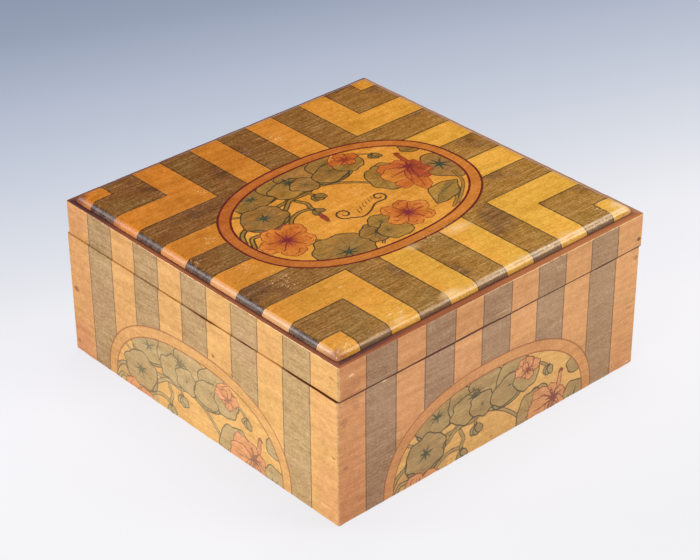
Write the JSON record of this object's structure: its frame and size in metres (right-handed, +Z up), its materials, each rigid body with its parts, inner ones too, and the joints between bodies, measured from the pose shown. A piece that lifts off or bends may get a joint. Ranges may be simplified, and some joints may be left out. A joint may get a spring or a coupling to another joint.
{
  "type": "painted wooden box",
  "caption": "Square striped and flower-painted wooden keepsake box, hollow, with a lift-off lid whose top board has a rounded edge.",
  "frame": {"origin": "middle of the underside, on the surface that the box stands on", "axes": "+Z up, +X to the right along the front, +Y from the front to the back; the front is the side that the painted top reads from"},
  "size_m": [0.2206, 0.2232, 0.1005],
  "materials": {
    "painted_walls": "light maple-like wood, amber and olive stripes, flower lunettes, thin aged varnish",
    "painted_top": "light wood, golden and olive stripes round a flower oval, glossy aged varnish with small scratches",
    "bare_wood": "unpainted light wood, oiled by age"
  },
  "bodies": {
    "root": {"body_front_board": "painted_walls", "body_right_board": "painted_walls", "body_back_board": "painted_walls", "body_left_board": "painted_walls", "body_bottom_board": "bare_wood", "lid_front_board": "painted_walls", "lid_right_board": "painted_walls", "lid_back_board": "painted_walls", "lid_left_board": "painted_walls", "lid_top_board": "painted_top"}
  },
  "joints": []
}
